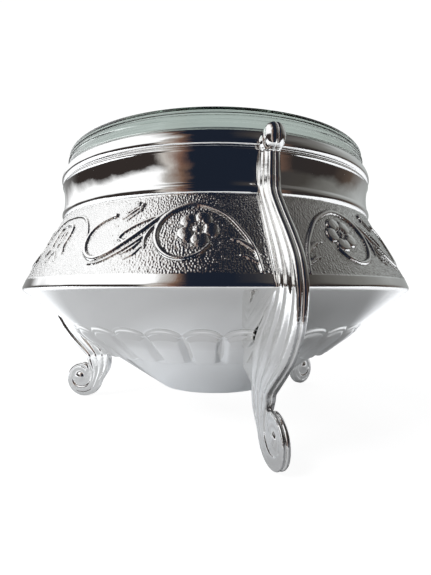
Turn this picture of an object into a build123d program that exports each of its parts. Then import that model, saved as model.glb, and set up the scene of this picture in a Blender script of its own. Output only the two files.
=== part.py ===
"""Silver-plated bowl on three scroll legs, with a glass liner that lifts out.

All sizes are in millimetres. +Z is up, and the origin is on the bowl's axis, on the floor that
the three feet stand on. The front leg points along -Y. The bowl is two pressed sheet shells: the
lower one's edge is folded over the flange of the upper one, and that fold is the bowl's ridge.
Each leg is two cast halves that meet on its middle plane, held by two screws from inside the bowl.
"""

import os
from math import asin, atan2, cos, degrees, hypot, radians, sin

from build123d import *

# Bowl sheet
sheet = 0.8
ridge_radius = 60.0
ridge_height = 39.9

# Rim and neck
rim_height = 75.9
rim_inner_radius = 47.1
rim_edge_radius = 48.3
bead_radius = 49.7
bead_edge_radius = 49.0
bead_tall = 4.4
step_tall = 1.3
neck_radius = 48.8
neck_edge_radius = 49.2
neck_tall = 7.2
lower_bead_radius = 49.4
lower_bead_tall = 2.4

# Ornament band, a cone from the lower bead to the ridge's margin
band_top_radius = 49.0
band_bottom_inset = 0.8
band_bottom_rise = 2.2

# Lower cone, its lobes and the cup
lobe_count = 30
lobe_top_radius = 47.2
lobe_bottom_radius = 35.3
lobe_bottom_height = 20.6
crease_depth = 0.35
crease_width = 1.2
crease_margin = 0.8
cup_sag = 0.7
base_radius = 18.0
base_height = 8.8

# Glass liner
lip_tall = 5.4
lip_overlap = 0.8
lip_rounding = 1.2
liner_clearance = 0.8
liner_wall = 2.4
liner_floor = 4.0
liner_straight = 16.0
liner_height_above_cup = 16.0
liner_base_radius = 33.0
liner_corner_radius = 9.0

# Legs
leg_count = 3
front_leg_angle = -90.0
leg_edge_half = 1.6
leg_core_half = 3.1
leg_core_inset = 1.7
knob_radius = 3.2
knob_stand_off = 3.0
knob_drop = 3.3
knob_half = 3.0
bead_clearance = 0.03
foot_reach = 8.6
foot_radius = 7.0
foot_pad = 3.6
eye_radius = 1.9
eye_half = 2.4
ankle_height = 16.0
ankle_depth = 8.4

# Screws, washers and the holes for them
screw_radius = 1.25
screw_length = 5.0
screw_head_radius = 2.2
screw_head_tall = 1.4
screw_slot_width = 0.6
screw_slot_depth = 0.6
washer_radius = 2.8
washer_tall = 0.5
hole_clearance = 0.15
thread_clearance = 0.02
bore_run_out = 0.4
seat_clearance = 0.1
band_screw_share = 0.74
cone_screw_share = 0.74

os.makedirs("parts", exist_ok=True)


def point_along(start, angle, distance):
    """The point at a distance from start, in the (radius, height) plane, at an angle in degrees."""
    return (start[0] + distance * cos(radians(angle)), start[1] + distance * sin(radians(angle)))


def between(start, end, share):
    """The point a share of the way from start to end."""
    return (start[0] + share * (end[0] - start[0]), start[1] + share * (end[1] - start[1]))


def direction(start, end):
    """The angle of the line from start to end, in degrees."""
    return degrees(atan2(end[1] - start[1], end[0] - start[0]))


def length_between(start, end):
    return hypot(end[0] - start[0], end[1] - start[1])


def tangent_angle(point, centre, radius, side):
    """The angle of the line from a point that just touches a circle, on the side of it given as 1 or -1."""
    reach = length_between(point, centre)
    return direction(point, centre) + side * degrees(asin(radius / reach))


# ---------------------------------------------------------------- places worked out from the sizes
bead_bottom = rim_height - bead_tall
neck_top = bead_bottom - step_tall
neck_bottom = neck_top - neck_tall
band_top = (band_top_radius, neck_bottom - lower_bead_tall)
band_bottom = (ridge_radius - band_bottom_inset, ridge_height + band_bottom_rise)
band_angle = direction(band_top, band_bottom)
band_out = band_angle + 90.0

# The fold is three sheets thick: its outside is rounded about the fold's centre.
fold_radius = 1.5 * sheet
fold_inner_radius = 0.5 * sheet
fold_centre = (ridge_radius - fold_radius, ridge_height)
margin_angle = tangent_angle(band_bottom, fold_centre, fold_radius, 1)
margin_out = margin_angle + 90.0
lobe_bottom = (lobe_bottom_radius, lobe_bottom_height)
cone_angle = tangent_angle(lobe_bottom, fold_centre, fold_radius, -1)
cone_out = cone_angle - 90.0
cone_top = point_along(fold_centre, cone_out, fold_radius)
cone_inner_top = point_along(fold_centre, cone_out, fold_inner_radius)
margin_low = point_along(fold_centre, margin_out, fold_radius)
margin_inner_low = point_along(fold_centre, margin_out, fold_inner_radius)
fold_tip = point_along(fold_centre, 0, fold_radius)
fold_inner_tip = point_along(fold_centre, 0, fold_inner_radius)
fold_edge_inner = point_along(band_bottom, margin_out, -sheet)
flange_inner_low = point_along(fold_centre, margin_out, -fold_inner_radius)
flange_inner_high = point_along(band_bottom, margin_out, -2 * sheet)
band_inner_low = point_along(between(band_top, band_bottom, 0.86), band_out, -sheet)

base_edge = (base_radius, base_height)
cup_middle = point_along(between(lobe_bottom, base_edge, 0.5), direction(base_edge, lobe_bottom) - 90, cup_sag)
lobe_bottom_inner = point_along(lobe_bottom, cone_out, -sheet)
cup_middle_inner = point_along(cup_middle, direction(base_edge, lobe_bottom) - 90, -sheet)
base_inner_height = base_height + sheet
base_inner_edge = (base_radius - 0.3 * sheet, base_inner_height)


def cone_point(share):
    """A point on the outside of the lower cone, from the lobe bottoms at 0 to the ridge at 1."""
    return between(lobe_bottom, cone_top, share)


def radial_plane(angle):
    """The upright plane through the axis at an angle: its x is outward and its y is up."""
    outward = Vector(cos(radians(angle)), sin(radians(angle)), 0)
    return Plane(origin=(0, 0, 0), x_dir=outward, z_dir=outward.cross(Vector(0, 0, 1)))


def screw_plane(angle, point, tilt):
    """The plane on the sheet's outside at a screw: its z is along the screw, out of the bowl."""
    around = radial_plane(angle)
    origin = around.from_local_coords(Vector(point[0], point[1], 0))
    along = point_along((0, 0), tilt, 1.0)
    outward = around.from_local_coords(Vector(along[0], along[1], 0))
    return Plane(origin=origin, x_dir=around.z_dir, z_dir=outward)


screw_reach = screw_length - washer_tall - sheet

leg_angles = [front_leg_angle + 360.0 / leg_count * i for i in range(leg_count)]
screw_planes = []
for leg_angle in leg_angles:
    screw_planes.append(screw_plane(leg_angle, between(band_top, band_bottom, band_screw_share), band_out))
    screw_planes.append(screw_plane(leg_angle, cone_point(cone_screw_share), cone_out))


def screw_shape(radius, low, high, mode):
    """A cylinder at every screw, from low to high along it."""
    for place in screw_planes:
        with BuildSketch(place.offset(low)) as end:
            Circle(radius)
        extrude(end.sketch, amount=high - low, mode=mode)


# ---------------------------------------------------------------- upper shell
lower_bead_bottom = band_top
lower_bead_middle = (lower_bead_radius, neck_bottom - lower_bead_tall / 2)

with BuildPart() as upper_shell:
    with BuildSketch(Plane.XZ):
        with BuildLine():
            Line((rim_inner_radius, rim_height), (rim_edge_radius, rim_height))
            ThreePointArc(
                (rim_edge_radius, rim_height),
                (bead_radius, rim_height - bead_tall / 2),
                (bead_edge_radius, bead_bottom),
            )
            Line((bead_edge_radius, bead_bottom), (neck_edge_radius, neck_top))
            ThreePointArc(
                (neck_edge_radius, neck_top),
                (neck_radius, neck_top - neck_tall / 2),
                (neck_edge_radius, neck_bottom),
            )
            ThreePointArc((neck_edge_radius, neck_bottom), lower_bead_middle, lower_bead_bottom)
            Polyline(band_top, band_bottom, fold_edge_inner, margin_inner_low)
            ThreePointArc(margin_inner_low, fold_inner_tip, flange_inner_low)
            Polyline(
                flange_inner_low,
                flange_inner_high,
                band_inner_low,
                (rim_inner_radius, band_top[1] - sheet),
                (rim_inner_radius, rim_height),
            )
        make_face()
    revolve(axis=Axis.Z)
    screw_shape(screw_radius + hole_clearance, -2 * sheet, sheet, Mode.SUBTRACT)
    screw_shape(washer_radius + seat_clearance, -4 * sheet, -sheet, Mode.SUBTRACT)

upper_shell.part.label = "upper_shell"
export_step(upper_shell.part, "parts/upper_shell.step")


# ---------------------------------------------------------------- lower shell
crease_start = cone_point((lobe_top_radius - lobe_bottom_radius) / (cone_top[0] - lobe_bottom_radius))
crease_end = point_along(lobe_bottom, cone_angle, crease_margin)
crease_plane = Plane(
    origin=(crease_end[0], 0, crease_end[1]),
    x_dir=(0, 1, 0),
    z_dir=(crease_start[0] - crease_end[0], 0, crease_start[1] - crease_end[1]),
)

with BuildPart() as crease:
    with BuildSketch(crease_plane):
        with BuildLine():
            Polyline(
                (-crease_width, -crease_depth),
                (0, crease_depth),
                (crease_width, -crease_depth),
                close=True,
            )
        make_face()
    extrude(amount=length_between(crease_end, crease_start))

with BuildPart() as lower_shell:
    with BuildSketch(Plane.XZ):
        with BuildLine():
            Line((0, base_height), base_edge)
            ThreePointArc(base_edge, cup_middle, lobe_bottom)
            Line(lobe_bottom, cone_top)
            ThreePointArc(cone_top, fold_tip, margin_low)
            Polyline(margin_low, band_bottom, fold_edge_inner, margin_inner_low)
            ThreePointArc(margin_inner_low, fold_inner_tip, cone_inner_top)
            Line(cone_inner_top, lobe_bottom_inner)
            ThreePointArc(lobe_bottom_inner, cup_middle_inner, base_inner_edge)
            Polyline(base_inner_edge, (0, base_inner_height), (0, base_height))
        make_face()
    revolve(axis=Axis.Z)
    with PolarLocations(0, lobe_count, start_angle=front_leg_angle):
        add(crease.part, mode=Mode.SUBTRACT)
    screw_shape(screw_radius + hole_clearance, -2 * sheet, sheet, Mode.SUBTRACT)
    screw_shape(washer_radius + seat_clearance, -4 * sheet, -sheet, Mode.SUBTRACT)

lower_shell.part.label = "lower_shell"
export_step(lower_shell.part, "parts/lower_shell.step")


# ---------------------------------------------------------------- glass liner
liner_radius = rim_inner_radius - liner_clearance
lip_radius = rim_inner_radius + lip_overlap
liner_top = rim_height + lip_tall
liner_bottom = base_height + liner_height_above_cup
liner_shoulder = rim_height - liner_straight
lip_inner_radius = liner_radius - liner_wall

with BuildPart() as glass_liner:
    with BuildSketch(Plane.XZ):
        with BuildLine() as liner_line:
            Polyline(
                (0, liner_bottom),
                (liner_base_radius, liner_bottom),
                (liner_base_radius + liner_corner_radius, liner_bottom + liner_corner_radius),
                (liner_radius, liner_shoulder),
                (liner_radius, rim_height),
                (lip_radius, rim_height),
                (lip_radius, liner_top),
                (lip_inner_radius, liner_top),
                (lip_inner_radius, liner_shoulder),
                (
                    liner_base_radius + liner_corner_radius - liner_wall,
                    liner_bottom + liner_corner_radius + liner_wall / 2,
                ),
                (liner_base_radius - liner_wall, liner_bottom + liner_floor),
                (0, liner_bottom + liner_floor),
                close=True,
            )
        make_face()
    revolve(axis=Axis.Z)
    lip_edges = glass_liner.edges().filter_by_position(Axis.Z, liner_top, liner_top)
    fillet(lip_edges, lip_rounding)

glass_liner.part.label = "glass_liner"
export_step(glass_liner.part, "parts/glass_liner.step")


# ---------------------------------------------------------------- what the legs seat on
with BuildPart() as bowl_outside:
    with BuildSketch(Plane.XZ):
        with BuildLine():
            Line((0, base_height), base_edge)
            ThreePointArc(base_edge, cup_middle, lobe_bottom)
            Line(lobe_bottom, cone_top)
            ThreePointArc(cone_top, fold_tip, margin_low)
            Polyline(margin_low, band_bottom, band_top)
            ThreePointArc(lower_bead_bottom, lower_bead_middle, (neck_edge_radius, neck_bottom))
            Polyline((neck_edge_radius, neck_bottom), (0, neck_bottom), (0, base_height))
        make_face()
    revolve(axis=Axis.Z)
    with BuildSketch(Plane.XY.offset(lower_bead_middle[1])):
        Circle(bead_radius + bead_clearance)
    extrude(amount=liner_top - lower_bead_middle[1])


# ---------------------------------------------------------------- legs
foot_angle_low = degrees(asin(foot_pad / 2 / foot_radius))
foot_centre = (ridge_radius - foot_reach, foot_radius * cos(radians(foot_angle_low)))
knob_centre = (bead_radius + knob_stand_off, rim_height - knob_drop)


def over_band(share, stand_off):
    """A point that stands off the band, at a share of the way down it."""
    place = between(band_top, band_bottom, share)
    return (place[0] + stand_off, place[1])


def below_ridge(stand_off, share):
    """A point past the ridge's radius, at a share of the height from the ankle to the ridge."""
    return (ridge_radius + stand_off, ankle_height + share * (ridge_height - ankle_height))


def leg_outline(inset):
    """The leg's outline in its own plane, drawn in from its outer edge by inset."""
    ankle_outer = (ridge_radius - 9.9 - inset, ankle_height)
    Spline(
        (bead_radius + 3.3 - inset, rim_height - 7.0),
        over_band(-0.05, 4.4 - inset),
        over_band(0.27, 5.2 - inset),
        over_band(0.59, 7.0 - inset),
        over_band(0.87, 7.0 - inset),
        below_ridge(6.0 - inset, 1.0),
        below_ridge(5.5 - inset, 0.73),
        below_ridge(3.8 - inset, 0.57),
        below_ridge(1.0 - inset, 0.40),
        below_ridge(-2.8 - inset, 0.24),
        ankle_outer,
    )
    foot_back = point_along(foot_centre, 98, foot_radius - inset)
    foot_front = point_along(foot_centre, 0, foot_radius - inset)
    foot_floor = point_along(foot_centre, -90 + foot_angle_low, foot_radius - inset)
    foot_heel = point_along(foot_centre, -90 - foot_angle_low, foot_radius - inset)
    Line(ankle_outer, foot_back)
    ThreePointArc(foot_back, foot_front, foot_floor)
    Line(foot_floor, foot_heel)
    shin = (ankle_outer[0] - ankle_depth + 1.6 * inset, ankle_height - 4.0)
    spur_root = (ankle_outer[0] - ankle_depth + inset, ankle_height + 1.5)
    spur_tip = (lobe_bottom[0] - 2.0 + inset, lobe_bottom[1] - 1.3 + inset)
    ThreePointArc(foot_heel, point_along(foot_centre, 207, foot_radius + 2.2 - inset), shin)
    Line(shin, spur_root)
    Polyline(
        spur_root,
        spur_tip,
        (lobe_bottom[0] - 2.0 + inset, ridge_height),
        (rim_inner_radius, rim_height - 7.0),
        (bead_radius + 3.3 - inset, rim_height - 7.0),
    )


def leg_half(angle, side):
    """One half of the leg at an angle, on the side of its middle plane given as 1 or -1."""
    middle = radial_plane(angle)
    with BuildPart() as half:
        with BuildSketch(middle):
            with BuildLine():
                leg_outline(0)
            make_face()
        extrude(amount=side * leg_edge_half)
        with BuildSketch(middle):
            with BuildLine():
                leg_outline(leg_core_inset)
            make_face()
        extrude(amount=side * leg_core_half)
        with BuildSketch(middle):
            with Locations(knob_centre):
                Circle(knob_radius)
            with Locations((rim_inner_radius + knob_stand_off, rim_height - 6.0)):
                Rectangle(2 * knob_stand_off, 4.0)
        extrude(amount=side * knob_half)
        with BuildSketch(middle):
            with Locations(foot_centre):
                Circle(eye_radius)
        extrude(amount=side * eye_half)
        add(bowl_outside.part, mode=Mode.SUBTRACT)
        screw_shape(screw_radius + thread_clearance, -sheet, screw_reach + bore_run_out, Mode.SUBTRACT)
    return half.part


leg_names = {"front_leg": 0, "right_leg": 1, "left_leg": 2}
for leg_name, number in leg_names.items():
    for side_name, side in (("left_half", 1), ("right_half", -1)):
        half = leg_half(leg_angles[number], side)
        half.label = f"{leg_name}_{side_name}"
        export_step(half, f"parts/{half.label}.step")


# ---------------------------------------------------------------- screws and washers
head_low = -sheet - washer_tall - screw_head_tall

with BuildPart() as leg_screws:
    screw_shape(screw_head_radius, head_low, -sheet - washer_tall, Mode.ADD)
    screw_shape(screw_radius, -sheet - washer_tall, screw_reach, Mode.ADD)
    for place in screw_planes:
        with BuildSketch(place.offset(head_low)):
            Rectangle(3 * screw_head_radius, screw_slot_width)
        extrude(amount=screw_slot_depth, mode=Mode.SUBTRACT)

leg_screws.part.label = "leg_screws"
export_step(leg_screws.part, "parts/leg_screws.step")

with BuildPart() as screw_washers:
    screw_shape(washer_radius, -sheet - washer_tall, -sheet, Mode.ADD)
    screw_shape(screw_radius + hole_clearance, -2 * washer_tall - sheet, sheet, Mode.SUBTRACT)

screw_washers.part.label = "screw_washers"
export_step(screw_washers.part, "parts/screw_washers.step")
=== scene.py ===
import math

import bmesh
import bpy
import numpy as np
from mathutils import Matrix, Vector


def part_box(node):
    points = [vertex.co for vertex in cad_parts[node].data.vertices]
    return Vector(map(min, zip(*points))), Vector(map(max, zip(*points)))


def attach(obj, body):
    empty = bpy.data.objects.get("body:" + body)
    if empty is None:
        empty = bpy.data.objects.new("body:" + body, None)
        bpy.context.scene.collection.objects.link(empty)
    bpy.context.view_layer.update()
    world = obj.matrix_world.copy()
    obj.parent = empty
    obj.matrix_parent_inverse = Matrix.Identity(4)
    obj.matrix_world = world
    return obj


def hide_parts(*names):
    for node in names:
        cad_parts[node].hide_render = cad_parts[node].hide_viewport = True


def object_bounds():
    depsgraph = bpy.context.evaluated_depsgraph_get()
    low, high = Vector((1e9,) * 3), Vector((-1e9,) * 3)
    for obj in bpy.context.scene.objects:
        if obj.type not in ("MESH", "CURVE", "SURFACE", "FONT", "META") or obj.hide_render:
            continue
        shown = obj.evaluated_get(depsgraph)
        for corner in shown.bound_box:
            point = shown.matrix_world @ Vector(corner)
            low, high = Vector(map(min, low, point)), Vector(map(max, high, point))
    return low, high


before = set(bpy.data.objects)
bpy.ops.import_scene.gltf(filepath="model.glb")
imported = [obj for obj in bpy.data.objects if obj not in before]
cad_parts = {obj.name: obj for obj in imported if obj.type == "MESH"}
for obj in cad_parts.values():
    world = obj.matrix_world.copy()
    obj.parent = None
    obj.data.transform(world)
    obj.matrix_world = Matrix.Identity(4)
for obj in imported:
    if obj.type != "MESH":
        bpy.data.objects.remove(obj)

# A silver-plated bowl on three scroll legs, with a glass liner. Shapes are worked out in
# millimetres in the frame's axes, and become metres when a mesh is made.
MM = 0.001
cad_low, cad_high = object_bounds()


def top_of(node):
    """The highest point of a CAD node, in millimetres."""
    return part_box(node)[1].z / MM


def reach_of(node):
    """The furthest that a round CAD node reaches from the axis, in millimetres."""
    low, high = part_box(node)
    return max(high.x, high.y, -low.x, -low.y) / MM


# ------------------------------------------------------------------ sizes, most from the frame
ridge_radius = reach_of("lower_shell") - 0.04
fold_top = top_of("lower_shell")
rim_height = top_of("upper_shell")
liner_top = top_of("glass_liner")
lip_radius = reach_of("glass_liner")
base_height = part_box("lower_shell")[0].z / MM
liner_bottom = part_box("glass_liner")[0].z / MM

sheet = 0.8
ridge_height = fold_top - 2.2
fold_radius = 1.5 * sheet
fold_centre = np.array([ridge_radius - fold_radius, ridge_height])
band_top = np.array([49.0, rim_height - 15.3])
band_bottom = np.array([ridge_radius - 0.8, fold_top])
lobe_bottom = np.array([35.3, base_height + 11.8])
base_radius = 18.0
lobe_count = 30
leg_reach = -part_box("front_leg_left_half")[0].y / MM - 0.04
leg_angles = {"front_leg": -90.0, "right_leg": 30.0, "left_leg": 150.0}


# ------------------------------------------------------------------ small geometry helpers
def arc(start, middle, end, steps):
    """Points on the circle arc through three points, both ends included."""
    (ax, ay), (bx, by), (cx, cy) = start, middle, end
    d = 2 * (ax * (by - cy) + bx * (cy - ay) + cx * (ay - by))
    ux = ((ax**2 + ay**2) * (by - cy) + (bx**2 + by**2) * (cy - ay) + (cx**2 + cy**2) * (ay - by)) / d
    uy = ((ax**2 + ay**2) * (cx - bx) + (bx**2 + by**2) * (ax - cx) + (cx**2 + cy**2) * (bx - ax)) / d
    a0 = math.atan2(ay - uy, ax - ux)
    a1 = math.atan2(by - uy, bx - ux)
    a2 = math.atan2(cy - uy, cx - ux)
    turn = (a2 - a0) % (2 * math.pi)
    if (a1 - a0) % (2 * math.pi) > turn:
        turn -= 2 * math.pi
    angles = a0 + turn * np.linspace(0, 1, steps)
    radius = math.hypot(ax - ux, ay - uy)
    return np.stack([ux + radius * np.cos(angles), uy + radius * np.sin(angles)], 1)


def line(start, end, steps):
    """Points evenly spaced on a line, both ends included."""
    t = np.linspace(0, 1, steps)[:, None]
    return np.array(start) * (1 - t) + np.array(end) * t


def join(*runs):
    """Several runs of points as one, where each starts at the last one's end."""
    return np.concatenate([runs[0]] + [run[1:] for run in runs[1:]])


def smooth_curve(points, steps):
    """A Catmull-Rom curve through the points, with that many steps on each span."""
    p = np.array(points, float)
    p = np.concatenate([[2 * p[0] - p[1]], p, [2 * p[-1] - p[-2]]])
    t = np.linspace(0, 1, steps, endpoint=False)[:, None]
    spans = []
    for a, b, c, d in zip(p, p[1:], p[2:], p[3:]):
        spans.append(
            0.5 * (2 * b + (c - a) * t + (2 * a - 5 * b + 4 * c - d) * t**2 + (3 * b - a - 3 * c + d) * t**3)
        )
    return np.concatenate(spans + [p[-2:-1]])


def outward_normals(profile):
    """Unit normals of a (radius, height) profile, to the left of the way it runs."""
    along = np.gradient(profile, axis=0)
    normal = np.stack([-along[:, 1], along[:, 0]], 1)
    return normal / np.maximum(np.linalg.norm(normal, axis=1, keepdims=True), 1e-9)


def smooth_step(x):
    x = np.clip(x, 0, 1)
    return x * x * (3 - 2 * x)


def tangent_point(point, centre, radius, side):
    """Where the line from a point just touches a circle, on the side given as 1 or -1."""
    to_centre = np.array(centre) - np.array(point)
    reach = np.linalg.norm(to_centre)
    angle = math.atan2(to_centre[1], to_centre[0]) + side * math.asin(radius / reach)
    length = math.sqrt(reach**2 - radius**2)
    return np.array(point) + length * np.array([math.cos(angle), math.sin(angle)])


cone_top = tangent_point(lobe_bottom, fold_centre, fold_radius, -1)
margin_low = tangent_point(band_bottom, fold_centre, fold_radius, 1)


# ------------------------------------------------------------------ making meshes
def mesh_object(name, vertices, faces, sharp_degrees=40):
    """A smooth-shaded object from millimetre vertices, with its normals facing out."""
    mesh = bpy.data.meshes.new(name)
    mesh.from_pydata((np.asarray(vertices) * MM).tolist(), [], faces)
    work = bmesh.new()
    work.from_mesh(mesh)
    bmesh.ops.remove_doubles(work, verts=work.verts, dist=1e-6)
    bmesh.ops.recalc_face_normals(work, faces=work.faces)
    work.to_mesh(mesh)
    work.free()
    mesh.shade_smooth()
    mesh.set_sharp_from_angle(angle=math.radians(sharp_degrees))
    thing = bpy.data.objects.new(name, mesh)
    bpy.context.scene.collection.objects.link(thing)
    return thing


def grid_faces(rows, columns, wrap_columns=False, wrap_rows=False):
    """Quads over a grid of vertices in row order."""
    row_count = rows if wrap_rows else rows - 1
    column_count = columns if wrap_columns else columns - 1
    i, j = np.meshgrid(np.arange(row_count), np.arange(column_count), indexing="ij")
    a = i * columns + j
    b = i * columns + (j + 1) % columns
    c = (i + 1) % rows * columns + (j + 1) % columns
    d = (i + 1) % rows * columns + j
    return np.stack([a, b, c, d], -1).reshape(-1, 4).tolist()


def lathe(name, profile, columns, relief=None, closed=True, sharp_degrees=40):
    """A surface of revolution. relief is how far each row and column stands out, in millimetres."""
    angle = np.radians(np.arange(columns) * 360.0 / columns - 90.0)
    radius = np.repeat(profile[:, :1], columns, 1)
    height = np.repeat(profile[:, 1:], columns, 1)
    if relief is not None:
        normal = outward_normals(profile)
        radius = radius + normal[:, :1] * relief
        height = height + normal[:, 1:] * relief
    vertices = np.stack([radius * np.cos(angle), radius * np.sin(angle), height], -1)
    faces = grid_faces(len(profile), columns, True, closed)
    return mesh_object(name, vertices.reshape(-1, 3), faces, sharp_degrees)


# ------------------------------------------------------------------ ornament of the band
# Places on the band are (degrees from a leg, share of the way down). One drawing covers the
# 60 degrees from a leg to mid-way between two legs, and is mirrored and repeated six times.
band_length = float(np.linalg.norm(band_bottom - band_top))
band_degree = math.radians(float(band_top[0] + band_bottom[0]) / 2)

# Each raised line: its points, its half width at both ends and in the middle, and its height.
vine_lines = [
    ([(5.0, 1.0), (5.3, 0.89), (6.1, 0.71), (8.2, 0.51), (12.0, 0.29), (18.2, 0.16), (23.8, 0.22),
      (26.9, 0.36), (27.7, 0.52), (26.6, 0.68), (24.3, 0.79), (21.3, 0.83), (17.9, 0.78), (15.4, 0.66)],
     (0.34, 0.72, 0.38), 0.5),
    ([(26.3, 0.26), (28.9, 0.36), (32.0, 0.49), (35.1, 0.61), (38.7, 0.73), (42.3, 0.79), (45.1, 0.73),
      (46.7, 0.60), (46.6, 0.45), (44.4, 0.33), (40.7, 0.25)], (0.5, 0.62, 0.36), 0.48),
    ([(27.3, 0.36), (29.6, 0.49), (32.6, 0.62), (36.2, 0.74), (40.2, 0.84), (43.2, 0.86)],
     (0.3, 0.4, 0.22), 0.34),
    ([(27.0, 0.27), (30.2, 0.33), (33.5, 0.40), (36.2, 0.49), (36.9, 0.56), (35.9, 0.58)],
     (0.3, 0.42, 0.3), 0.36),
    ([(37.9, 0.30), (36.2, 0.24), (34.6, 0.18), (33.4, 0.15)], (0.16, 0.3, 0.3), 0.34),
    ([(37.0, 0.22), (35.6, 0.17), (34.2, 0.13)], (0.14, 0.26, 0.28), 0.3),
    ([(36.6, 0.33), (35.4, 0.28), (33.9, 0.22)], (0.14, 0.24, 0.24), 0.28),
    ([(27.9, 0.38), (29.3, 0.47), (30.1, 0.58), (29.7, 0.70)], (0.2, 0.55, 0.12), 0.42),
    ([(31.0, 0.60), (32.6, 0.68), (35.2, 0.76)], (0.14, 0.42, 0.14), 0.34),
    ([(30.6, 0.68), (32.0, 0.76), (34.2, 0.82)], (0.12, 0.32, 0.12), 0.3),
    ([(5.5, 0.78), (7.2, 0.68), (9.0, 0.62), (10.8, 0.60)], (0.4, 0.62, 0.12), 0.36),
    ([(5.1, 0.90), (6.6, 0.84), (8.0, 0.80), (9.2, 0.79)], (0.34, 0.5, 0.12), 0.34),
    ([(47.7, 0.47), (48.9, 0.37), (50.6, 0.28), (53.0, 0.20), (56.2, 0.16), (60.0, 0.15)],
     (0.26, 0.32, 0.3), 0.34),
    ([(54.9, 0.68), (56.2, 0.58), (55.9, 0.45), (56.3, 0.34), (57.8, 0.28), (60.0, 0.26)],
     (0.28, 0.46, 0.42), 0.42),
    ([(59.0, 0.36), (59.2, 0.44), (59.8, 0.53)], (0.22, 0.4, 0.3), 0.36),
    ([(60.0, 0.62), (58.6, 0.70), (57.6, 0.78)], (0.3, 0.3, 0.14), 0.3),
]
# Each raised boss: its place, its radius in millimetres and its height.
vine_knobs = [
    ((40.3, 0.245), 0.72, 0.5),
    ((33.0, 0.13), 0.62, 0.5),
    ((34.3, 0.10), 0.5, 0.42),
    ((33.2, 0.19), 0.5, 0.42),
    ((59.9, 0.56), 0.5, 0.4),
    ((35.7, 0.585), 0.5, 0.36),
]
flower_centre = (18.2, 0.473)
petal_count = 5
petal_ring = 2.75
petal_long = 1.9
petal_wide = 1.95
petal_height = 0.66
first_petal = 115.0
boss_dots = 10
dot_ring = 1.42


def band_place(point):
    """A place on the band in flat millimetres: along it, and down it."""
    return np.array([point[0] * band_degree, point[1] * band_length])


def ridge_line(x, y, points, half_widths, height):
    """How far one raised line stands out at each flat place, rounded across its width."""
    curve = smooth_curve([band_place(p) for p in points], 8)
    share = np.linspace(0, 1, len(curve))
    width = np.interp(share, [0, 0.5, 1], half_widths)
    best = np.zeros_like(x)
    for start, end, w0, w1 in zip(curve, curve[1:], width, width[1:]):
        run = end - start
        length2 = max(float(run @ run), 1e-9)
        t = np.clip(((x - start[0]) * run[0] + (y - start[1]) * run[1]) / length2, 0, 1)
        away = np.hypot(x - start[0] - t * run[0], y - start[1] - t * run[1])
        w = w0 + t * (w1 - w0)
        rounded = height * np.sqrt(np.clip(1 - (away / w) ** 2, 0, 1))
        best = np.maximum(best, rounded * np.sqrt(np.minimum(w / 0.5, 1)))
    return best


def dome(x, y, centre, radius, height):
    away = np.hypot(x - centre[0], y - centre[1]) / radius
    return height * np.sqrt(np.clip(1 - away**2, 0, 1))


def flower(x, y):
    """Five domed petals with a faint crease down each, round a ringed boss with small dots about it."""
    middle = band_place(flower_centre)
    best = np.zeros_like(x)
    for k in range(petal_count):
        turn = math.radians(first_petal + 360.0 / petal_count * k)
        # Flat y runs down the band, so a turn upwards is negative in it.
        out = np.array([math.cos(turn), -math.sin(turn)])
        along = (x - middle[0]) * out[0] + (y - middle[1]) * out[1] - petal_ring
        across = -(x - middle[0]) * out[1] + (y - middle[1]) * out[0]
        spread = petal_wide * (1 + 0.18 * np.clip(along / petal_long, -1, 1))
        inside = 1 - (along / petal_long) ** 2 - (across / spread) ** 2
        petal = petal_height * np.clip(inside, 0, 1) ** 0.42
        crease = 0.05 * np.exp(-((across / 0.22) ** 2)) * smooth_step(0.6 - along / petal_long)
        lip = 0.04 * np.exp(-(((np.sqrt(np.clip(1 - inside, 0, 4)) - 0.78) / 0.14) ** 2))
        best = np.maximum(best, np.where(inside > 0, petal - crease + lip, 0))
    away = np.hypot(x - middle[0], y - middle[1])
    boss = 0.66 * np.sqrt(np.clip(1 - (away / 1.05) ** 2, 0, 1))
    boss = boss - 0.2 * np.exp(-(((away - 0.62) / 0.14) ** 2))
    for k in range(boss_dots):
        turn = math.radians(360.0 / boss_dots * k)
        dot = (middle[0] + dot_ring * math.cos(turn), middle[1] + dot_ring * math.sin(turn))
        boss = np.maximum(boss, dome(x, y, dot, 0.27, 0.5))
    hollow = np.exp(-(((away - 1.3) / 0.35) ** 2))
    return np.maximum(best * (1 - 0.75 * hollow), boss)


def grains(columns, rows, spacing, seed):
    """Round-topped grains on a jittered lattice that closes on itself round the band, from 0 to 1."""
    around = 360.0 * band_degree
    cells_x = int(round(around / spacing))
    cells_y = int(round(band_length / spacing)) + 2
    random = np.random.RandomState(seed)
    jitter = random.rand(cells_x, cells_y, 2) * 0.9 + 0.05
    size = 0.75 + 0.5 * random.rand(cells_x, cells_y)
    x = (np.arange(columns) / columns * cells_x)[None, :]
    y = (np.linspace(0, 1, rows) * band_length / spacing + 1)[:, None]
    nearest = np.full((rows, columns), 9.0)
    second = np.full((rows, columns), 9.0)
    for di in (-1, 0, 1):
        for dj in (-1, 0, 1):
            ci = np.floor(x).astype(int) + di
            cj = np.clip(np.floor(y).astype(int) + dj, 0, cells_y - 1)
            spot = jitter[ci % cells_x, cj]
            away = np.hypot(ci + spot[..., 0] - x, cj + spot[..., 1] - y) / size[ci % cells_x, cj]
            second = np.minimum(second, np.maximum(away, nearest))
            nearest = np.minimum(nearest, away)
    return smooth_step((second - nearest) / 0.7) * np.clip(1.1 - nearest, 0, 1)


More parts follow.
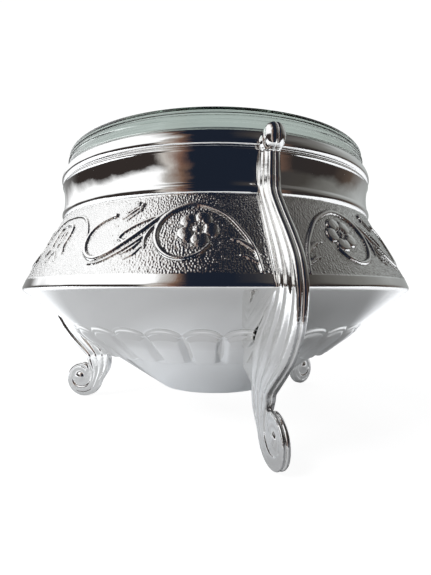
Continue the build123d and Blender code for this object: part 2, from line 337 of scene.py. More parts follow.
def band_relief(columns, rows):
    """How far the band stands out from its cone, in millimetres, for each row and column."""
    per_half = columns // 6
    x = np.repeat((np.arange(per_half + 1) * 60.0 / per_half * band_degree)[None, :], rows, 0)
    y = np.repeat((np.linspace(0, 1, rows) * band_length)[:, None], per_half + 1, 1)
    motif = flower(x, y)
    for points, half_widths, height in vine_lines:
        motif = np.maximum(motif, ridge_line(x, y, points, half_widths, height))
    for place, radius, height in vine_knobs:
        motif = np.maximum(motif, dome(x, y, band_place(place), radius, height))
    pair = np.concatenate([motif[:, :-1], motif[:, :0:-1]], 1)
    motif = np.tile(pair, (1, 3))
    ground = 0.13 * grains(columns, rows, 0.56, 3) + 0.06 * grains(columns, rows, 0.38, 8) - 0.11
    down = np.linspace(0, 1, rows)[:, None] * band_length
    edge = smooth_step(down / 0.5) * smooth_step((band_length - down) / 0.5)
    cover = smooth_step(motif / 0.14)
    return edge * (ground * (1 - cover) + motif * cover)


# ------------------------------------------------------------------ upper shell
def make_upper_shell():
    """Rim bead, neck, lower bead, ornament band and the flange, as one pressed sheet."""
    columns = 2160
    bead_bottom = rim_height - 4.4
    neck_top = bead_bottom - 1.3
    neck_bottom = neck_top - 7.2
    inner = 47.1
    down_band = (band_bottom - band_top) / band_length
    band_out = np.array([-down_band[1], down_band[0]])
    down_margin = (margin_low - band_bottom) / np.linalg.norm(margin_low - band_bottom)
    margin_out = np.array([-down_margin[1], down_margin[0]])
    upper = join(
        line((inner, rim_height), (47.7, rim_height), 3),
        arc((47.7, rim_height), (48.1, rim_height - 0.1), (48.35, rim_height - 0.45), 4),
        arc((48.35, rim_height - 0.45), (49.25, rim_height - 1.75), (49.66, rim_height - 3.2), 16),
        arc((49.66, rim_height - 3.2), (49.53, rim_height - 3.91), (49.0, bead_bottom), 8),
        arc((49.0, bead_bottom), (48.8, bead_bottom - 0.25), (49.0, bead_bottom - 0.5), 4),
        arc((49.0, bead_bottom - 0.5), (49.4, bead_bottom - 0.9), (49.2, neck_top), 6),
        arc((49.2, neck_top), (48.75, (neck_top + neck_bottom) / 2), (49.1, neck_bottom), 26),
        arc((49.1, neck_bottom), (49.5, neck_bottom - 1.15), band_top, 14),
    )
    rows = 124
    band = line(band_top, band_bottom, rows)
    inside = join(
        line(band_bottom, band_bottom - margin_out * sheet, 3),
        line(band_bottom - margin_out * sheet, margin_low - margin_out * sheet, 3),
        line(margin_low - margin_out * sheet, margin_low - margin_out * 2 * sheet, 3),
        line(margin_low - margin_out * 2 * sheet, band_bottom - margin_out * 2 * sheet, 3),
        line(band_bottom - margin_out * 2 * sheet, band_top + down_band * 18 - band_out * sheet, 3),
        line(band_top + down_band * 18 - band_out * sheet, (inner, band_top[1] - sheet), 20),
        line((inner, band_top[1] - sheet), (inner, rim_height), 12),
    )
    profile = join(upper, band, inside)[:-1]
    relief = np.zeros((len(profile), columns))
    start = len(upper) - 1
    relief[start:start + rows] = band_relief(columns, rows)
    # The profile runs down the outside, so its left is out of the bowl.
    return lathe("upper_shell_skin", profile, columns, relief, True, 62)


# ------------------------------------------------------------------ lower shell
def lobe_relief(share, angle):
    """How far the lobes stand out at a share of the way from the ridge to their bottoms."""
    slant = float(np.linalg.norm(cone_top - lobe_bottom))
    half = 180.0 / lobe_count
    off = np.abs((angle + half) % (2 * half) - half)[None, :]
    off = half - off
    share = share[:, None]
    radius = cone_top[0] + (lobe_bottom[0] - cone_top[0]) * share
    to_crease = np.radians(half - off) * radius
    arch = 0.49 + 0.085 * (off / half) ** 2.4
    to_arch = (share - arch) * slant
    to_bottom = (1.0 - share) * slant
    near = np.minimum(to_crease, to_arch)
    rim = 0.5 * smooth_step(near / 1.0)
    inner = 0.34 * smooth_step((np.minimum(to_crease - 0.35, to_arch - 1.6)) / 1.5)
    crown = 0.38 * np.clip(1 - (off / half) ** 2, 0, 1) * smooth_step((to_arch - 1.0) / 6)
    line_between = 0.24 * np.exp(-(((np.minimum(to_crease - 0.9, to_arch - 1.55)) / 0.32) ** 2))
    line_between = line_between * smooth_step(to_arch / 1.2)
    end = smooth_step(to_bottom / 1.5)
    valley = -0.2 * np.exp(-((to_crease / 0.5) ** 2)) * smooth_step(to_arch / 1.5)
    valley = valley - 0.1 * np.exp(-((to_arch / 0.5) ** 2))
    return end * (rim + inner + crown - line_between + valley) - 0.12 * np.exp(-((to_bottom / 0.4) ** 2))


def make_lower_shell():
    """The cup, the lobes, the lower cone and the fold that is the bowl's ridge."""
    columns = 1080
    angle = np.arange(columns) * 360.0 / columns
    base_edge = (base_radius, base_height)
    down = (lobe_bottom - cone_top) / np.linalg.norm(lobe_bottom - cone_top)
    cone_out = np.array([-down[1], down[0]])
    down_margin = (margin_low - band_bottom) / np.linalg.norm(margin_low - band_bottom)
    margin_out = np.array([-down_margin[1], down_margin[0]])
    cone_rows = 130
    cone = line(cone_top, lobe_bottom, cone_rows)
    cup = arc(lobe_bottom, (27.3, 15.15), base_edge, 26)
    outside = join(
        line(band_bottom - margin_out * sheet, band_bottom, 3),
        line(band_bottom, margin_low, 6),
        arc(margin_low, (ridge_radius, ridge_height), cone_top, 14),
        cone,
        cup,
        line(base_edge, (0, base_height), 8),
    )
    inside = join(
        line((0, base_height + sheet), (base_radius - 0.3, base_height + sheet), 6),
        arc((base_radius - 0.3, base_height + sheet), (26.9, 15.85), lobe_bottom + [-0.45, sheet * 0.8], 16),
        line(lobe_bottom + [-0.45, sheet * 0.8], cone_top - cone_out * sheet, cone_rows),
    )
    profile = np.concatenate([outside, inside])
    share = np.linspace(0, 1, cone_rows)
    relief = np.zeros((len(profile), columns))
    start = 3 + 6 + 14 - 3
    relief[start:start + cone_rows] = lobe_relief(share, angle)
    relief[-cone_rows:] = -lobe_relief(share[::-1], angle)
    return lathe("lower_shell_skin", profile, columns, relief, True, 50)


# ------------------------------------------------------------------ glass liner
def make_liner():
    """The glass: a lip with a moulded ring and a groove on its outside, a straight wall and a base."""
    wall = 2.4
    body = 46.3
    inner = body - wall
    shoulder = rim_height - 16.0
    lip_top = liner_top - 0.02
    corner = (42.0, liner_bottom + 9.0)
    lip = join(
        line((body, rim_height), (lip_radius - 0.3, rim_height), 4),
        arc((lip_radius - 0.3, rim_height), (lip_radius - 0.1, rim_height + 0.1),
            (lip_radius, rim_height + 0.35), 4),
        line((lip_radius, rim_height + 0.35), (lip_radius - 0.2, rim_height + 2.0), 6),
        arc((lip_radius - 0.2, rim_height + 2.0), (lip_radius, rim_height + 2.6),
            (lip_radius - 0.3, rim_height + 3.15), 8),
        arc((lip_radius - 0.3, rim_height + 3.15), (lip_radius - 0.75, rim_height + 3.45),
            (lip_radius - 0.3, rim_height + 3.75), 8),
        line((lip_radius - 0.3, rim_height + 3.75), (lip_radius - 0.35, rim_height + 4.4), 4),
        arc((lip_radius - 0.35, rim_height + 4.4), (lip_radius - 0.75, liner_top - 0.3),
            (lip_radius - 1.6, lip_top), 10),
        line((lip_radius - 1.6, lip_top), (inner + 1.0, lip_top), 4),
        arc((inner + 1.0, lip_top), (inner + 0.35, liner_top - 0.3), (inner + 0.1, liner_top - 1.0), 8),
    )
    inside = join(
        line((inner + 0.1, liner_top - 1.0), (inner, shoulder), 16),
        line((inner, shoulder), (corner[0] - wall, corner[1] + 1.0), 14),
        arc((corner[0] - wall, corner[1] + 1.0), (37.2, liner_bottom + 5.4), (31.5, liner_bottom + 4.0), 14),
        line((31.5, liner_bottom + 4.0), (0, liner_bottom + 4.3), 8),
    )
    outside = join(
        line((0, liner_bottom + 0.6), (26.0, liner_bottom + 0.6), 5),
        arc((26.0, liner_bottom + 0.6), (29.5, liner_bottom), (33.0, liner_bottom + 0.15), 8),
        arc((33.0, liner_bottom + 0.15), (39.0, liner_bottom + 3.0), corner, 14),
        line(corner, (body, shoulder), 14),
        line((body, shoulder), (body, rim_height), 10),
    )
    profile = np.concatenate([lip, inside[1:], outside])[:-1]
    return lathe("glass_liner_skin", profile, 288, None, True, 35)


# ------------------------------------------------------------------ legs
# A leg is drawn in its own plane as pairs of places, (radius, height): one on the edge that
# faces the bowl and one on the outer edge. Past the ankle the first edge follows the foot's
# outline and the second winds in to the eye of the scroll.
leg_pairs = [
    ((48.6, 73.0), (51.9, 73.4)),
    ((48.6, 71.1), (52.5, 71.3)),
    ((48.6, 68.6), (52.8, 68.4)),
    ((48.5, 64.4), (52.8, 64.3)),
    ((48.6, 61.0), (53.2, 60.8)),
    ((51.0, 56.4), (56.5, 56.0)),
    ((53.8, 50.6), (61.3, 50.1)),
    ((56.2, 45.6), (64.5, 45.2)),
    ((58.0, 40.7), (65.9, 40.2)),
    ((56.0, 36.8), (65.9, 36.3)),
    ((52.2, 33.6), (65.3, 32.6)),
    ((48.4, 30.4), (63.8, 29.1)),
    ((45.4, 26.8), (61.1, 25.2)),
    ((43.2, 23.0), (57.3, 21.6)),
    ((41.6, 19.4), (52.9, 18.0)),
    ((40.6, 16.4), (50.4, 15.7)),
    ((40.5, 13.8), (50.0, 14.1)),
    ((41.0, 11.0), (49.0, 12.0)),
    ((42.4, 8.6), (48.2, 9.8)),
    ((44.0, 6.2), (48.2, 7.4)),
    ((45.3, 3.4), (49.2, 5.2)),
    ((47.8, 1.2), (50.9, 3.9)),
    ((51.0, 0.3), (52.8, 3.6)),
    ((54.4, 0.8), (54.9, 4.2)),
    ((57.0, 2.6), (56.0, 5.4)),
    ((58.3, 5.1), (56.3, 7.0)),
    ((58.3, 8.0), (55.9, 8.5)),
    ((56.9, 10.5), (55.0, 9.6)),
    ((54.6, 12.2), (53.7, 10.1)),
    ((52.0, 12.8), (52.3, 9.8)),
    ((50.1, 12.2), (51.3, 9.0)),
    ((49.4, 10.6), (50.9, 8.0)),
]
# Half the leg's thickness at the bowl's side, at some of the pairs.
thick_stations = [0, 3, 8, 12, 15, 18, 22, 27, 31]
thick_values = [2.3, 2.9, 3.1, 2.7, 1.5, 1.3, 1.12, 1.05, 1.0]
groove_places = [0.24, 0.52, 0.8]
groove_deep = 0.3
groove_half = 0.055
eye_place = (53.2, 7.1)
knob_place = (52.2, 72.4)
# A half is drawn this far past the middle plane, and is then cut off at the seam's gap.
past_middle = -1.0
voxel = 0.22
seam_gap = 0.03
seam_half = 0.36
seam_deep = 0.28
# Below this height, in millimetres, the legs' outer edges take the darker silver of painted shade.
painted_shade_edge_top = 36.0


def leg_sheet():
    """The ribbed side of the leg's ribbon: places in its plane and how far each stands out."""
    steps, across = 9, 44
    inner = smooth_curve([pair[0] for pair in leg_pairs], steps)
    outer = smooth_curve([pair[1] for pair in leg_pairs], steps)
    station = np.linspace(0, len(leg_pairs) - 1, len(inner))
    thick = np.interp(station, thick_stations, thick_values)[:, None]
    s = np.linspace(0, 1, across)[None, :]
    place = inner[:, None, :] * (1 - s[..., None]) + outer[:, None, :] * s[..., None]
    width = np.linalg.norm(outer - inner, axis=1)[:, None]
    thin = 0.40 + 0.5 * smooth_step((station - 11.5) / 4)[:, None]
    body = thick * (1 - (1 - thin) * s**1.6)
    in_foot = smooth_step((station - 17.0) / 4)[:, None]
    in_top = smooth_step((5.0 - station) / 3)[:, None]
    grooves = 0
    for k, at in enumerate(groove_places):
        fade = 1 - in_foot if k != 1 else 1 - 0.3 * in_foot
        if k == 0:
            fade = fade * (1 - in_top)
        grooves = grooves + fade * np.exp(-(((s - at) / groove_half) ** 2))
    body = body - groove_deep * np.minimum(1, width / 5) * grooves
    # Both long edges are rounded off, the outer one more tightly.
    edge_in = np.clip(s * width / 0.8, 0, 1)
    edge_out = np.clip((1 - s) * width / 0.35, 0, 1)
    body = body * (0.55 + 0.45 * np.sqrt(1 - (1 - edge_in) ** 2))
    body = body - 0.3 * (1 - np.sqrt(1 - (1 - edge_out) ** 2))
    return place, np.maximum(body, 0.5)


def closed_sheet(place, stand):
    """A closed shell from past the leg's middle plane out to its side, as vertices and faces."""
    rows, columns = stand.shape
    side = np.concatenate([place[..., :1], stand[..., None], place[..., 1:]], -1).reshape(-1, 3)
    middle = side.copy()
    middle[:, 1] = past_middle
    faces = grid_faces(rows, columns)
    under = [[a + rows * columns for a in reversed(face)] for face in faces]
    count = rows * columns
    loop = list(range(columns - 1))
    loop += [columns - 1 + columns * i for i in range(rows - 1)]
    loop += [count - 1 - i for i in range(columns - 1)]
    loop += [count - columns - columns * i for i in range(rows - 1)]
    rim = [[a, a + count, b + count, b] for a, b in zip(loop, loop[1:] + loop[:1])]
    return np.concatenate([side, middle]), faces + under + rim


def closed_plate(points, stand):
    """A flat plate with the outline given, from past the middle plane out to stand."""
    n = len(points)
    side = np.array([(x, stand, z) for x, z in points])
    middle = np.array([(x, past_middle, z) for x, z in points])
    faces = [list(range(n)), [2 * n - 1 - i for i in range(n)]]
    faces += [[i, n + i, n + (i + 1) % n, (i + 1) % n] for i in range(n)]
    return np.concatenate([side, middle]), faces


def half_ball(centre, radii, power=1.0):
    """An ellipsoid's half on the side of the middle plane, with a straight stub past that plane."""
    rings, around = 18, 36
    vertices = []
    for i in range(-1, rings + 1):
        lift = math.pi / 2 * max(i, 0) / rings
        flat = math.cos(lift) ** power
        stand = radii[1] * math.sin(lift) if i >= 0 else past_middle
        for j in range(around):
            spin = 2 * math.pi * j / around
            x, z = radii[0] * flat * math.cos(spin), radii[2] * flat * math.sin(spin)
            vertices.append((centre[0] + x, stand, centre[1] + z))
    faces = grid_faces(rings + 2, around, True)
    faces.append(list(range(around)))
    faces.append([(rings + 1) * around + around - 1 - j for j in range(around)])
    return np.array(vertices), faces


def foot_plate():
    """The web inside the foot's scroll."""
    points = [(42.2, 11.0), (45.0, 5.4), (47.6, 2.2), (51.4, 1.0), (55.0, 2.0), (57.0, 6.6), (55.4, 10.6),
              (50.5, 12.4)]
    return [tuple(p) for p in smooth_curve(points, 6)]


def spur_plate():
    """The thin web that runs from the leg in to the lobe bottoms."""
    return [(53.0, 34.4), (45.2, 28.2), (38.6, 23.2), (34.4, 20.1), (33.4, 19.3), (36.4, 18.1), (40.8, 16.0),
            (43.6, 17.8), (46.5, 22.3), (52.0, 28.3)]


def leg_half_mesh():
    """One half of a leg, fused to one skin, in its own plane with its thickness along +y."""
    place, stand = leg_sheet()
    knob_x, knob_z = knob_place
    pieces = [
        closed_sheet(place, stand),
        closed_plate(foot_plate(), 0.75),
        closed_plate(spur_plate(), 1.25),
        half_ball(eye_place, (2.1, 1.35, 2.3)),
        half_ball((knob_x, knob_z + 0.2), (2.8, 2.5, 3.3), 0.8),
        half_ball((knob_x - 2.0, knob_z - 0.5), (2.2, 2.9, 2.5), 0.8),
    ]
    vertices, faces, count = [], [], 0
    for part_vertices, part_faces in pieces:
        vertices.append(part_vertices)
        faces += [[a + count for a in face] for face in part_faces]
        count += len(part_vertices)
    mesh = bpy.data.meshes.new("leg_half")
    mesh.from_pydata(np.concatenate(vertices).tolist(), [], faces)
    work = bmesh.new()
    work.from_mesh(mesh)
    bmesh.ops.recalc_face_normals(work, faces=work.faces)
    work.to_mesh(mesh)
    work.free()
    source = bpy.data.objects.new("leg_half", mesh)
    bpy.context.scene.collection.objects.link(source)
    remesh = source.modifiers.new("remesh", "REMESH")
    remesh.mode = "VOXEL"
    remesh.voxel_size = voxel
    smooth = source.modifiers.new("smooth", "SMOOTH")
    smooth.factor = 0.5
    smooth.iterations = 3
    fused = bpy.data.meshes.new_from_object(source.evaluated_get(bpy.context.evaluated_depsgraph_get()))
    bpy.data.objects.remove(source)
    cut_mesh = bmesh.new()
    cut_mesh.from_mesh(fused)
    everything = list(cut_mesh.verts) + list(cut_mesh.edges) + list(cut_mesh.faces)
    seam = {"plane_co": (0, seam_gap, 0), "plane_no": (0, 1, 0)}
    cut = bmesh.ops.bisect_plane(cut_mesh, geom=everything, clear_inner=True, **seam)
    outline = [e for e in cut["geom_cut"] if isinstance(e, bmesh.types.BMEdge)]
    bmesh.ops.triangle_fill(cut_mesh, edges=outline, normal=(0, -1, 0))
    cut_mesh.normal_update()
    # The halves meet at a fine V along the leg's edges.
    moves = []
    for v in cut_mesh.verts:
        near = 1 - (v.co.y - seam_gap) / seam_half
        flat = Vector((v.normal.x, 0, v.normal.z))
        if near > 0 and flat.length > 0.5:
            moves.append((v, flat.normalized() * seam_deep * near))
    for v, move in moves:
        v.co -= move
    vertices = np.array([v.co[:] for v in cut_mesh.verts])
    faces = [[v.index for v in f.verts] for f in cut_mesh.faces]
    cut_mesh.free()
    return vertices, faces


def make_legs():
    """Six leg halves, each standing for its CAD node."""
    local, faces = leg_half_mesh()
    # The foot's pad is flat on the floor, and no leg reaches past its CAD node.
    local[:, 2] = np.maximum(local[:, 2], 0.0)
    local[:, 0] = np.minimum(local[:, 0], leg_reach)
    halves = []
    for leg_name, degrees in leg_angles.items():
        turn = math.radians(degrees)
        outward = np.array([math.cos(turn), math.sin(turn), 0])
        sideways = np.array([math.sin(turn), -math.cos(turn), 0])
        up = np.array([0, 0, 1])
        for side_name, side in (("left_half", 1), ("right_half", -1)):
            node = f"{leg_name}_{side_name}"
            points = local[:, :1] * outward + side * local[:, 1:2] * sideways + local[:, 2:] * up
            half = mesh_object(node + "_skin", points, faces, 60)
            # The edge that shows below the ridge is left as filed, rougher than the sides, with its colour
            # painted darker as shade.
            half.data.materials.append(cast)
            half.data.materials.append(filed_painted_shade)
            for face in half.data.polygons:
                across = abs(face.normal @ Vector(sideways))
                outwards = face.normal @ Vector(outward)
                low = face.center.z < painted_shade_edge_top * MM
                if across < 0.5 and outwards > -0.2 and low:
                    face.material_index = 1
            halves.append((half, node))
    return halves


# ------------------------------------------------------------------ materials
def new_material(name):
    material = bpy.data.materials.new(name)
    material.use_nodes = True
    nodes = material.node_tree.nodes
    return material, nodes, material.node_tree.links, nodes["Principled BSDF"]


def texture(nodes, links, kind, scale, **inputs):
    """A procedural texture in the object's own space, with its pattern scaled in metres."""
    place = nodes.new("ShaderNodeTexCoord")
    pattern = nodes.new(kind)
    pattern.inputs["Scale"].default_value = scale
    for key, value in inputs.items():
        pattern.inputs[key].default_value = value
    links.new(place.outputs["Object"], pattern.inputs["Vector"])
    return pattern


def ranged(nodes, links, source, low, high, out_low, out_high):
    """A value taken from one range to another."""
    spread = nodes.new("ShaderNodeMapRange")
    spread.inputs["From Min"].default_value = low
    spread.inputs["From Max"].default_value = high
    spread.inputs["To Min"].default_value = out_low
    spread.inputs["To Max"].default_value = out_high
    links.new(source, spread.inputs["Value"])
    return spread.outputs["Result"]


def silver(name, rough_low, rough_high, grain_height, colour=(0.93, 0.925, 0.91)):
    """Bright silver plate: faint blotches in its gloss, and very fine polishing marks."""
    material, nodes, links, shader = new_material(name)
    shader.inputs["Metallic"].default_value = 1.0
    blotch = texture(nodes, links, "ShaderNodeTexNoise", 90, Detail=3.0)
    rough = ranged(nodes, links, blotch.outputs["Fac"], 0.3, 0.7, rough_low, rough_high)
    links.new(rough, shader.inputs["Roughness"])
    tone = nodes.new("ShaderNodeMix")
    tone.data_type = "RGBA"
    tone.inputs["A"].default_value = (*[c * 0.93 for c in colour], 1)
    tone.inputs["B"].default_value = (*colour, 1)
    patches = texture(nodes, links, "ShaderNodeTexNoise", 35, Detail=2.0)
    links.new(ranged(nodes, links, patches.outputs["Fac"], 0.35, 0.6, 0, 1), tone.inputs["Factor"])
    links.new(tone.outputs["Result"], shader.inputs["Base Color"])
    marks = texture(nodes, links, "ShaderNodeTexNoise", 1400, Detail=2.0)
    bump = nodes.new("ShaderNodeBump")
    bump.inputs["Strength"].default_value = 1.0
    bump.inputs["Distance"].default_value = grain_height
    links.new(marks.outputs["Fac"], bump.inputs["Height"])
    links.new(bump.outputs["Normal"], shader.inputs["Normal"])
    return material


def band_silver():
    """Silver on the ornament band: as bright on its raised parts, with painted shade darkening its hollows,
    and fine tooling that breaks up the ground.
    """
    material, nodes, links, shader = new_material("silver_band_with_painted_shade")
    shader.inputs["Metallic"].default_value = 1.0
    blotch = texture(nodes, links, "ShaderNodeTexNoise", 160, Detail=3.0)
    links.new(ranged(nodes, links, blotch.outputs["Fac"], 0.3, 0.7, 0.12, 0.2), shader.inputs["Roughness"])
    # Painted shade: the band's colour darkens to about half in its hollows, where the surface is least
    # pointy.
    edges = nodes.new("ShaderNodeNewGeometry")
    tone = nodes.new("ShaderNodeMix")
    tone.data_type = "RGBA"
    tone.inputs["A"].default_value = (0.56, 0.555, 0.54, 1)
    tone.inputs["B"].default_value = (0.93, 0.925, 0.91, 1)
    links.new(ranged(nodes, links, edges.outputs["Pointiness"], 0.44, 0.52, 0, 1), tone.inputs["Factor"])
    links.new(tone.outputs["Result"], shader.inputs["Base Color"])
    grit = texture(nodes, links, "ShaderNodeTexNoise", 2600, Detail=1.0)
    bump = nodes.new("ShaderNodeBump")
    bump.inputs["Strength"].default_value = 0.6
    bump.inputs["Distance"].default_value = 0.00006
    links.new(grit.outputs["Fac"], bump.inputs["Height"])
    links.new(bump.outputs["Normal"], shader.inputs["Normal"])
    return material


def clear_glass():
    """Clear glass with a faint green tint and slightly uneven pressed faces."""
    material, nodes, links, shader = new_material("clear_glass")
    shader.inputs["Base Color"].default_value = (0.86, 0.93, 0.89, 1)
    shader.inputs["Roughness"].default_value = 0.02
    shader.inputs["IOR"].default_value = 1.5
    shader.inputs["Transmission Weight"].default_value = 1.0
    waves = texture(nodes, links, "ShaderNodeTexNoise", 120, Detail=1.0)
    bump = nodes.new("ShaderNodeBump")
    bump.inputs["Strength"].default_value = 0.5
    bump.inputs["Distance"].default_value = 0.0002
    links.new(waves.outputs["Fac"], bump.inputs["Height"])
    links.new(bump.outputs["Normal"], shader.inputs["Normal"])
    return material


def screw_steel():
    """Zinc-plated steel, a little dull and uneven."""
    material, nodes, links, shader = new_material("screw_steel")
    shader.inputs["Metallic"].default_value = 1.0
    blotch = texture(nodes, links, "ShaderNodeTexNoise", 400, Detail=4.0)
    links.new(ranged(nodes, links, blotch.outputs["Fac"], 0.3, 0.7, 0.25, 0.45), shader.inputs["Roughness"])
    tone = nodes.new("ShaderNodeMix")
    tone.data_type = "RGBA"
    tone.inputs["A"].default_value = (0.5, 0.5, 0.49, 1)
    tone.inputs["B"].default_value = (0.64, 0.63, 0.6, 1)
    links.new(blotch.outputs["Fac"], tone.inputs["Factor"])
    links.new(tone.outputs["Result"], shader.inputs["Base Color"])
    return material


def dress(thing, material, slot, body, *nodes):
    """Gives a new piece its material and its body, and hides the CAD nodes it stands for. The slot argument
    is not used.
    """
    thing.data.materials.clear()
    thing.data.materials.append(material)
    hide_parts(*nodes)
    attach(thing, body)


# ------------------------------------------------------------------ the object
polished = silver("silver_polished", 0.035, 0.075, 0.000004)
cast = silver("silver_cast", 0.07, 0.14, 0.00002)
# Rougher silver for the legs' outer edges, with its colour halved as painted shade.
filed_painted_shade = silver("silver_filed_painted_shade", 0.2, 0.38, 0.00012, (0.5, 0.5, 0.5))
ornament = band_silver()
glass = clear_glass()
steel = screw_steel()

upper_shell = make_upper_shell()
dress(upper_shell, polished, "silver_plate", "bowl", "upper_shell")
# The ornament band is the part of the upper shell between its two edges, on the outside.
upper_shell.data.materials.append(ornament)
middle_line = (band_top + band_bottom) / 2
down_band = (band_bottom - band_top) / band_length
for face in upper_shell.data.polygons:
    x, y, z = face.center / MM
    away = np.array([math.hypot(x, y), z]) - middle_line
    stands = away[0] * -down_band[1] + away[1] * down_band[0]
    if abs(away @ down_band) < band_length / 2 - 0.3 and -0.45 < stands < 0.75:
        face.material_index = 1

lower_shell = make_lower_shell()
dress(lower_shell, polished, "silver_plate", "bowl", "lower_shell")

liner = make_liner()
dress(liner, glass, "clear_glass", "liner", "glass_liner")

for half, node in make_legs():
    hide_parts(node)
    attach(half, "bowl")

for node in ("leg_screws", "screw_washers"):
    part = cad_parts[node]
    part.data.materials.clear()
    part.data.materials.append(steel)


# ------------------------------------------------------------------ floor, light and camera
camera_azimuth = -14.2
camera_away = 136.3 * MM
camera_height = 37.7 * MM
camera_pitch = 1.26
table_edge = 0.112
floor_size = 3.0


def from_camera(right, away, up):
    """A point given by how far right of the axis and away from the camera it is, in metres."""
    a = math.radians(camera_azimuth)
    ahead = Vector((-math.sin(a), math.cos(a), 0))
    across = Vector((math.cos(a), math.sin(a), 0))
    return across * right + ahead * away + Vector((0, 0, up))


def make_camera():
    camera = bpy.data.objects.new("camera", bpy.data.cameras.new("camera"))
    camera.data.sensor_width = 36.0
    camera.data.lens = 24.7
    camera.data.clip_start = 0.005
    camera.location = from_camera(0, -camera_away, camera_height)
    look = from_camera(0, 1, math.tan(math.radians(camera_pitch))) - from_camera(0, 0, 0)
    camera.rotation_euler = look.to_track_quat("-Z", "Y").to_euler()
    bpy.context.scene.collection.objects.link(camera)
    bpy.context.scene.camera = camera


def staged_mesh(name, vertices, faces, material):
    """A mesh that belongs to the studio, not to the object."""
    mesh = bpy.data.meshes.new(name)
    mesh.from_pydata(vertices, [], faces)
    mesh.materials.append(material)
    thing = bpy.data.objects.new(name, mesh)
    bpy.context.scene.collection.objects.link(thing)
    return thing


def mirrored_floor():
    """Pale under the bowl's middle, with a painted shadow as a greyer ring below its ridge, pale again far
    out, and glowing there as painted light.
    """
    material, nodes, links, shader = new_material("floor_painted_shadow_and_light")
    place = nodes.new("ShaderNodeTexCoord")
    away = nodes.new("ShaderNodeVectorMath")
    away.operation = "LENGTH"
    links.new(place.outputs["Object"], away.inputs[0])
    # The grey ring is painted shadow, where the bowl shades the floor beneath it.
    near, shadow_ring_grey, far = (0.93, 0.96, 1.0), (0.52, 0.53, 0.545), (0.95, 0.97, 1.0)
    reach = ranged(nodes, links, away.outputs["Value"], 0, 0.2, 0, 1)
    tones = colour_ramp(nodes, links, reach, [(0.11, near), (0.23, shadow_ring_grey), (0.4, shadow_ring_grey), (0.55, far)])
    links.new(tones, shader.inputs["Base Color"])
    # Painted light: far out the floor glows, brighter than its lamps make it.
    glow = colour_ramp(nodes, links, reach, [(0.45, (0, 0, 0)), (0.85, (0.2, 0.205, 0.21))])
    links.new(glow, shader.inputs["Emission Color"])
    shader.inputs["Emission Strength"].default_value = 1.0
    shader.inputs["Roughness"].default_value = 0.9
    shader.inputs["Specular IOR Level"].default_value = 0.0
    return material


def seen_floor():
    """Nearly white, with faint shadows."""
    material, _, _, shader = new_material("floor_white")
    shader.inputs["Base Color"].default_value = (0.22, 0.222, 0.226, 1)
    shader.inputs["Roughness"].default_value = 0.9
    shader.inputs["Specular IOR Level"].default_value = 0.0
    shader.inputs["Emission Color"].default_value = (1, 1, 1, 1)
    shader.inputs["Emission Strength"].default_value = 0.93
    return material


def make_floor():
    """The silver mirrors a floor that ends at the front, where the table does, and the camera sees
    one that doesn't end."""
    up = cad_low.z
    mirrored, seen = mirrored_floor(), seen_floor()
    for name, front, material in (("floor_seen", floor_size, seen), ("floor_mirrored", table_edge, mirrored)):
        sides = ((-1, -front), (1, -front), (1, floor_size), (-1, floor_size))
        corners = [tuple(from_camera(x * floor_size, y, up)) for x, y in sides]
        floor = staged_mesh(name, corners, [[0, 1, 2, 3]], material)
        floor.visible_shadow = False
        if front == floor_size:
            floor.visible_glossy = False
            floor.visible_diffuse = False
        else:
            floor.visible_camera = False
            floor.visible_transmission = False


def make_backdrop():
    """A plain white backdrop all round, which only the camera sees, and not through the glass."""
    material = bpy.data.materials.new("backdrop_white")
    material.use_nodes = True
    nodes, links = material.node_tree.nodes, material.node_tree.links
    nodes.clear()
    glow = nodes.new("ShaderNodeEmission")
    glow.inputs["Strength"].default_value = 1.05
    output = nodes.new("ShaderNodeOutputMaterial")
    links.new(glow.outputs["Emission"], output.inputs["Surface"])
    rings, around, reach = 24, 48, 3.0
    lift = np.repeat(np.linspace(-0.2, math.pi / 2, rings + 1)[:, None], around, 1)
    spin = np.repeat((np.arange(around) * 2 * math.pi / around)[None, :], rings + 1, 0)
    dome = np.stack([np.cos(lift) * np.cos(spin), np.cos(lift) * np.sin(spin), np.sin(lift)], -1) * reach
    faces = grid_faces(rings + 1, around, True)
    backdrop = staged_mesh("backdrop", dome.reshape(-1, 3).tolist(), faces, material)
    backdrop.visible_diffuse = False
    backdrop.visible_glossy = False
    backdrop.visible_shadow = False
    backdrop.visible_transmission = False


def colour_ramp(nodes, links, source, stops):
    """A colour for each value of source, from (value, colour) stops, where values run from -1 to 1."""
    ramp = nodes.new("ShaderNodeValToRGB")
    links.new(ranged(nodes, links, source, -1, 1, 0, 1), ramp.inputs["Fac"])
    while len(ramp.color_ramp.elements) < len(stops):
        ramp.color_ramp.elements.new(0.5)
    for element, (value, colour) in zip(ramp.color_ramp.elements, stops):
        element.position = (value + 1) / 2
        element.color = (*colour, 1)
    return ramp.outputs["Color"]


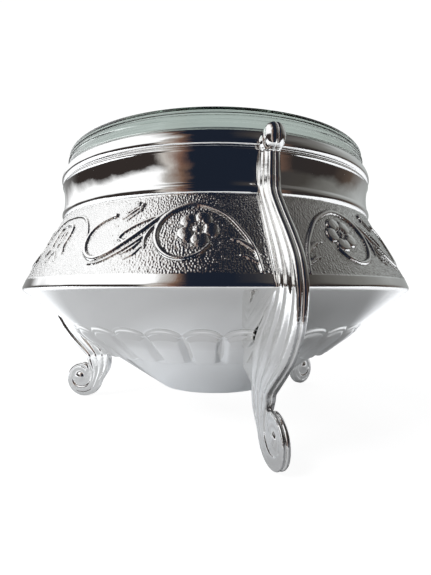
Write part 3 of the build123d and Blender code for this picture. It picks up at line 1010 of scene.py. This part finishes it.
def make_world():
    """The room that the silver mirrors and the glass shows: white to the left, grey-green behind, and
    dark cloth in front and to the right."""
    world = bpy.data.worlds.new("studio")
    bpy.context.scene.world = world
    world.use_nodes = True
    nodes, links = world.node_tree.nodes, world.node_tree.links
    nodes.clear()
    place = nodes.new("ShaderNodeTexCoord")
    ripple = nodes.new("ShaderNodeTexNoise")
    ripple.inputs["Scale"].default_value = 3.2
    ripple.inputs["Detail"].default_value = 3.0
    links.new(place.outputs["Generated"], ripple.inputs["Vector"])
    centred = nodes.new("ShaderNodeVectorMath")
    centred.operation = "MULTIPLY_ADD"
    centred.inputs[1].default_value = (0.3, 0.3, 0.3)
    centred.inputs[2].default_value = (-0.15, -0.15, -0.15)
    links.new(ripple.outputs["Color"], centred.inputs[0])
    ray = nodes.new("ShaderNodeVectorMath")
    ray.operation = "ADD"
    links.new(place.outputs["Generated"], ray.inputs[0])
    links.new(centred.outputs["Vector"], ray.inputs[1])
    a = math.radians(camera_azimuth)

    def component(direction):
        dot = nodes.new("ShaderNodeVectorMath")
        dot.operation = "DOT_PRODUCT"
        dot.inputs[1].default_value = direction
        links.new(ray.outputs["Vector"], dot.inputs[0])
        return dot.outputs["Value"]

    leftward = component((-math.cos(a), -math.sin(a), 0))
    frontward = component((math.sin(a), -math.cos(a), 0))
    upward = component((0, 0, 1))
    bearing = nodes.new("ShaderNodeMath")
    bearing.operation = "ARCTAN2"
    links.new(leftward, bearing.inputs[0])
    links.new(frontward, bearing.inputs[1])
    turn = ranged(nodes, links, bearing.outputs["Value"], -math.pi, math.pi, -1, 1)

    white, navy, brown = (1.15, 1.16, 1.18), (0.012, 0.017, 0.03), (0.035, 0.028, 0.026)
    low_ring = [
        (-1.0, (0.36, 0.39, 0.38)), (-0.86, (0.4, 0.42, 0.41)), (-0.75, (0.34, 0.35, 0.35)),
        (-0.6, (0.1, 0.075, 0.06)), (-0.5, brown),
        (-0.3, (0.03, 0.026, 0.026)), (-0.24, (0.14, 0.085, 0.065)), (-0.17, navy), (0.09, navy),
        (0.13, (0.2, 0.11, 0.08)), (0.19, (0.6, 0.57, 0.54)), (0.23, brown), (0.62, brown),
        (0.8, (0.3, 0.3, 0.3)), (0.9, (0.4, 0.43, 0.42)), (1.0, (0.36, 0.39, 0.38)),
    ]
    high_ring = [
        (-1.0, (0.46, 0.5, 0.49)), (-0.86, (0.48, 0.51, 0.5)), (-0.72, (0.46, 0.48, 0.48)),
        (-0.52, (0.2, 0.2, 0.19)), (-0.36, (0.06, 0.055, 0.05)),
        (-0.22, (0.05, 0.045, 0.045)), (-0.15, navy), (0.09, navy), (0.13, (0.2, 0.12, 0.085)),
        (0.19, (0.5, 0.48, 0.46)), (0.23, white), (0.82, white), (0.88, (0.46, 0.5, 0.49)),
        (1.0, (0.46, 0.5, 0.49)),
    ]
    overhead = [
        (-1.0, (0.2, 0.2, 0.2)), (-0.6, (0.15, 0.145, 0.14)), (-0.3, (0.05, 0.045, 0.045)), (-0.1, navy),
        (0.2, navy), (0.27, (0.16, 0.1, 0.075)), (0.36, (0.6, 0.6, 0.6)), (0.48, white), (1.0, white),
    ]
    lower = nodes.new("ShaderNodeMix")
    lower.data_type = "RGBA"
    links.new(ranged(nodes, links, upward, 0.2, 0.34, 0, 1), lower.inputs["Factor"])
    links.new(colour_ramp(nodes, links, turn, low_ring), lower.inputs["A"])
    links.new(colour_ramp(nodes, links, turn, high_ring), lower.inputs["B"])
    whole = nodes.new("ShaderNodeMix")
    whole.data_type = "RGBA"
    links.new(ranged(nodes, links, upward, 0.62, 0.8, 0, 1), whole.inputs["Factor"])
    links.new(lower.outputs["Result"], whole.inputs["A"])
    links.new(colour_ramp(nodes, links, leftward, overhead), whole.inputs["B"])
    background = nodes.new("ShaderNodeBackground")
    background.inputs["Strength"].default_value = 1.0
    links.new(whole.outputs["Result"], background.inputs["Color"])
    output = nodes.new("ShaderNodeOutputWorld")
    links.new(background.outputs["Background"], output.inputs["Surface"])


def make_lamp(name, right, away, up, size, power, colour=(1, 1, 1)):
    """A soft square lamp that looks at the bowl and doesn't show in the silver."""
    lamp = bpy.data.objects.new(name, bpy.data.lights.new(name, "AREA"))
    lamp.data.size = size
    lamp.data.energy = power
    lamp.data.color = colour
    lamp.visible_glossy = False
    lamp.visible_camera = False
    lamp.visible_transmission = False
    lamp.location = from_camera(right, away, up)
    middle = Vector((0, 0, 0.04))
    lamp.rotation_euler = (middle - lamp.location).to_track_quat("-Z", "Y").to_euler()
    bpy.context.scene.collection.objects.link(lamp)


make_camera()
make_floor()
make_backdrop()
make_world()
make_lamp("key_left", -0.45, -0.35, 0.5, 0.4, 4.3)
make_lamp("back", 0.1, 0.9, 0.7, 0.6, 3.0)
make_lamp("fill_right", 0.5, -0.1, 0.5, 0.4, 0.9)
bpy.context.scene.view_settings.view_transform = "Standard"
